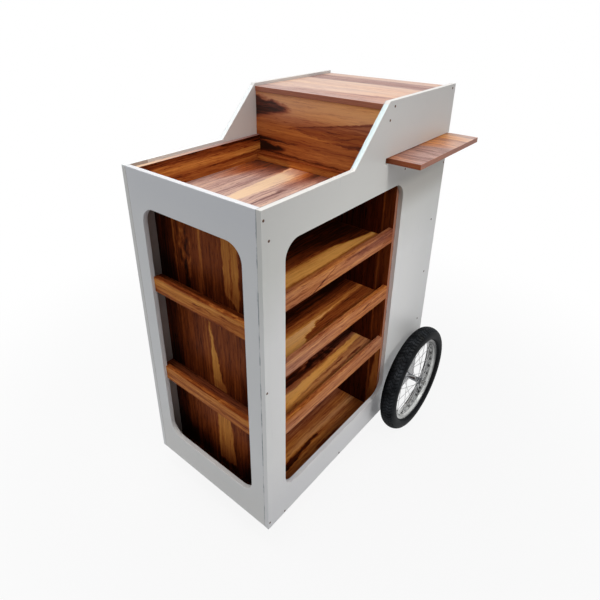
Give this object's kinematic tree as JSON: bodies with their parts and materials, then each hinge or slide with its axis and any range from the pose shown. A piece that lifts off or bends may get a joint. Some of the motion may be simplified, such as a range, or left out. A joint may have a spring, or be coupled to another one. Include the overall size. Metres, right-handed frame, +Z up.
{
  "type": "vending cart",
  "caption": "Tall laminated-board vending cart on spoked wheels, with windowed display shelves, a sunk counter tray, a raised top and a slide-out side board.",
  "frame": {"origin": "On the floor, in the middle of the overall box", "axes": "+X to the cart's right side (the side with the window and the slot), +Y from front to back, +Z up"},
  "size_m": [0.736, 0.963, 1.262],
  "materials": {
    "white_laminate": "white satin laminate on board",
    "walnut_laminate": "brown wood-grain satin laminate on board",
    "tyre_rubber": "black treaded rubber",
    "rim_chrome": "bright plated steel",
    "spoke_steel": "drawn steel wire",
    "hub_chrome": "plated steel",
    "zinc_steel": "zinc plated steel",
    "caster_plastic": "moulded dark plastic",
    "caster_rubber": "grey-black solid rubber"
  },
  "bodies": {
    "cart_body": {"left_side_panel": "white_laminate", "right_side_panel": "white_laminate", "front_panel": "white_laminate", "bottom_panel": "walnut_laminate", "deck_panel": "walnut_laminate", "front_niche_back": "walnut_laminate", "rear_divider": "walnut_laminate", "riser_panel": "walnut_laminate", "top_panel": "walnut_laminate", "front_shelf_lower": "walnut_laminate", "front_shelf_upper": "walnut_laminate", "front_lip_lower": "walnut_laminate", "front_lip_upper": "walnut_laminate", "side_shelf_lower": "walnut_laminate", "side_shelf_middle": "walnut_laminate", "side_shelf_upper": "walnut_laminate", "side_lip_lower": "walnut_laminate", "side_lip_middle": "walnut_laminate", "side_lip_upper": "walnut_laminate", "rear_shelf_lower": "walnut_laminate", "rear_shelf_middle": "walnut_laminate", "rear_shelf_upper": "walnut_laminate", "tray_liner_left": "walnut_laminate", "tray_liner_right": "walnut_laminate", "tray_liner_front": "walnut_laminate", "tray_rear_strip": "walnut_laminate", "board_runner_front": "walnut_laminate", "board_runner_rear": "walnut_laminate", "board_guide_strip": "walnut_laminate", "axle_rod": "zinc_steel", "axle_plates": "zinc_steel", "axle_nuts": "zinc_steel", "axle_washers": "zinc_steel", "axle_cones": "zinc_steel", "caster_plate_left": "zinc_steel", "caster_plate_right": "zinc_steel"},
    "slide": {"slide_board": "walnut_laminate", "slide_board_stop": "walnut_laminate"},
    "wheel_left": {"tyre_left": "tyre_rubber", "rim_left": "rim_chrome", "spokes_left": "spoke_steel", "nipples_left": "spoke_steel", "hub_left": "hub_chrome", "hub_bearings_left": "zinc_steel", "valve_left": "tyre_rubber"},
    "caster_swivel_left": {"caster_fork_left": "zinc_steel", "caster_axle_left": "zinc_steel"},
    "caster_wheel_left": {"caster_core_left": "caster_plastic", "caster_tread_left": "caster_rubber"},
    "wheel_right": {"tyre_right": "tyre_rubber", "rim_right": "rim_chrome", "spokes_right": "spoke_steel", "nipples_right": "spoke_steel", "hub_right": "hub_chrome", "hub_bearings_right": "zinc_steel", "valve_right": "tyre_rubber"},
    "caster_swivel_right": {"caster_fork_right": "zinc_steel", "caster_axle_right": "zinc_steel"},
    "caster_wheel_right": {"caster_core_right": "caster_plastic", "caster_tread_right": "caster_rubber"}
  },
  "joints": [
    {"name": "board_slide", "type": "slide", "parent": "cart_body", "child": "slide", "axis": [1, 0, 0], "range_m": [-0.098, 0.15]},
    {"name": "wheel_left_spin", "type": "hinge", "parent": "cart_body", "child": "wheel_left", "pos_m": [-0.31, 0.2765, 0.205], "axis": [1, 0, 0], "continuous": true},
    {"name": "caster_left_swivel", "type": "hinge", "parent": "cart_body", "child": "caster_swivel_left", "pos_m": [-0.165, -0.3785, 0.08], "axis": [0, 0, 1], "continuous": true},
    {"name": "caster_left_roll", "type": "hinge", "parent": "caster_swivel_left", "child": "caster_wheel_left", "pos_m": [-0.165, -0.3525, 0.0315], "axis": [1, 0, 0], "continuous": true},
    {"name": "wheel_right_spin", "type": "hinge", "parent": "cart_body", "child": "wheel_right", "pos_m": [0.31, 0.2765, 0.205], "axis": [1, 0, 0], "continuous": true},
    {"name": "caster_right_swivel", "type": "hinge", "parent": "cart_body", "child": "caster_swivel_right", "pos_m": [0.165, -0.3785, 0.08], "axis": [0, 0, 1], "continuous": true},
    {"name": "caster_right_roll", "type": "hinge", "parent": "caster_swivel_right", "child": "caster_wheel_right", "pos_m": [0.165, -0.3525, 0.0315], "axis": [1, 0, 0], "continuous": true}
  ]
}
